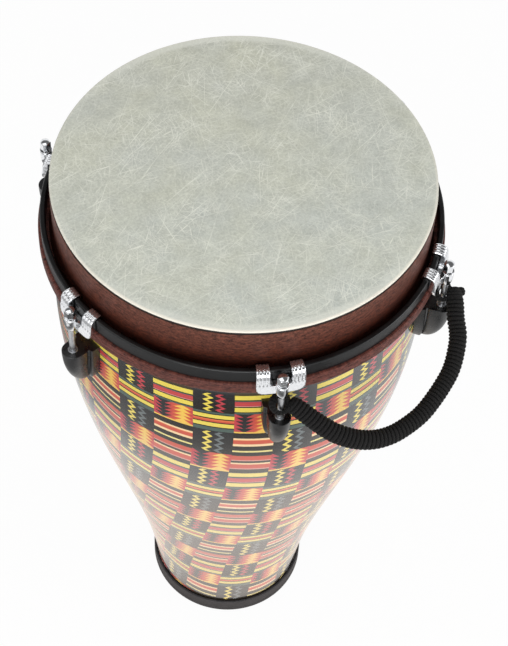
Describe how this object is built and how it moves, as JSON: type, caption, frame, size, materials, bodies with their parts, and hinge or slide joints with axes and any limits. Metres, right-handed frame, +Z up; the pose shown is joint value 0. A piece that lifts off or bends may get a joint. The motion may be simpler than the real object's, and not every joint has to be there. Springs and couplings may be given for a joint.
{
  "type": "conical hand drum",
  "caption": "Tall conical hand drum: patterned flared shell on a rubber foot, cream skin in a brown collar, bolted tension hoop with claws and lugs, and a wound rope carrying handle.",
  "frame": {"origin": "middle of the foot ring's underside, on the drum's axis", "axes": "+Z up the drum's axis to the head, -Y to the front tension station"},
  "size_m": [0.3822, 0.4436, 0.7],
  "materials": {
    "printed_shell": "strip-weave cloth pattern under a thick clear gloss coat",
    "foot_rubber": "matt dark grey",
    "cream_skin": "cream with pale fibre streaks, satin",
    "brown_collar": "reddish brown fine grain, satin",
    "black_hoop": "black powder coat, satin",
    "chrome": "polished",
    "black_plastic": "black, satin",
    "zinc_steel": "zinc plated",
    "black_cord": "black cord wound in close turns"
  },
  "bodies": {
    "drum": {"shell": "printed_shell", "foot_ring": "foot_rubber", "head_skin": "cream_skin", "head_collar": "brown_collar", "lug_1": "black_plastic", "lug_2": "black_plastic", "lug_3": "black_plastic", "lug_4": "black_plastic", "lug_5": "black_plastic", "lug_6": "black_plastic", "lug_nut_1": "chrome", "lug_nut_2": "chrome", "lug_nut_3": "chrome", "lug_nut_4": "chrome", "lug_nut_5": "chrome", "lug_nut_6": "chrome", "lug_plate_1": "zinc_steel", "lug_plate_2": "zinc_steel", "lug_plate_3": "zinc_steel", "lug_plate_4": "zinc_steel", "lug_plate_5": "zinc_steel", "lug_plate_6": "zinc_steel", "lug_screw_upper_1": "zinc_steel", "lug_screw_upper_2": "zinc_steel", "lug_screw_upper_3": "zinc_steel", "lug_screw_upper_4": "zinc_steel", "lug_screw_upper_5": "zinc_steel", "lug_screw_upper_6": "zinc_steel", "lug_screw_lower_1": "zinc_steel", "lug_screw_lower_2": "zinc_steel", "lug_screw_lower_3": "zinc_steel", "lug_screw_lower_4": "zinc_steel", "lug_screw_lower_5": "zinc_steel", "lug_screw_lower_6": "zinc_steel"},
    "tension_ring": {"tension_hoop": "black_hoop", "claw_1": "chrome", "claw_2": "chrome", "claw_3": "chrome", "claw_4": "chrome", "claw_5": "chrome", "claw_6": "chrome", "bolt_washer_1": "chrome", "bolt_washer_2": "chrome", "bolt_washer_3": "chrome", "bolt_washer_4": "chrome", "bolt_washer_5": "chrome", "bolt_washer_6": "chrome"},
    "bolt_1": {"tension_bolt_1": "chrome"},
    "bolt_2": {"tension_bolt_2": "chrome"},
    "bolt_3": {"tension_bolt_3": "chrome"},
    "bolt_4": {"tension_bolt_4": "chrome"},
    "bolt_5": {"tension_bolt_5": "chrome"},
    "bolt_6": {"tension_bolt_6": "chrome"},
    "carry_handle": {"handle_grip": "black_cord", "handle_loop_front": "black_cord", "handle_loop_right": "black_cord"}
  },
  "joints": [
    {"name": "tension_slide", "type": "slide", "parent": "drum", "child": "tension_ring", "axis": [0, 0, 1], "range_m": [0, 0.01]},
    {"name": "bolt_turn_1", "type": "hinge", "parent": "tension_ring", "child": "bolt_1", "pos_m": [0, -0.1998, 0.6515], "axis": [0, 0, 1], "range_deg": [0, 3600]},
    {"name": "bolt_turn_2", "type": "hinge", "parent": "tension_ring", "child": "bolt_2", "pos_m": [0.17303, -0.0999, 0.6515], "axis": [0, 0, 1], "range_deg": [0, 3600]},
    {"name": "bolt_turn_3", "type": "hinge", "parent": "tension_ring", "child": "bolt_3", "pos_m": [0.17303, 0.0999, 0.6515], "axis": [0, 0, 1], "range_deg": [0, 3600]},
    {"name": "bolt_turn_4", "type": "hinge", "parent": "tension_ring", "child": "bolt_4", "pos_m": [0, 0.1998, 0.6515], "axis": [0, 0, 1], "range_deg": [0, 3600]},
    {"name": "bolt_turn_5", "type": "hinge", "parent": "tension_ring", "child": "bolt_5", "pos_m": [-0.17303, 0.0999, 0.6515], "axis": [0, 0, 1], "range_deg": [0, 3600]},
    {"name": "bolt_turn_6", "type": "hinge", "parent": "tension_ring", "child": "bolt_6", "pos_m": [-0.17303, -0.0999, 0.6515], "axis": [0, 0, 1], "range_deg": [0, 3600]},
    {"name": "handle_swing", "type": "hinge", "parent": "drum", "child": "carry_handle", "pos_m": [0.08652, -0.14985, 0.61685], "axis": [-0.866, -0.5, 0], "range_deg": [0, 60]}
  ],
  "couplings": [
    {"joint": "bolt_turn_1", "follows": "tension_slide", "rad_per_m": 6283.2},
    {"joint": "bolt_turn_2", "follows": "tension_slide", "rad_per_m": 6283.2},
    {"joint": "bolt_turn_3", "follows": "tension_slide", "rad_per_m": 6283.2},
    {"joint": "bolt_turn_4", "follows": "tension_slide", "rad_per_m": 6283.2},
    {"joint": "bolt_turn_5", "follows": "tension_slide", "rad_per_m": 6283.2},
    {"joint": "bolt_turn_6", "follows": "tension_slide", "rad_per_m": 6283.2}
  ]
}
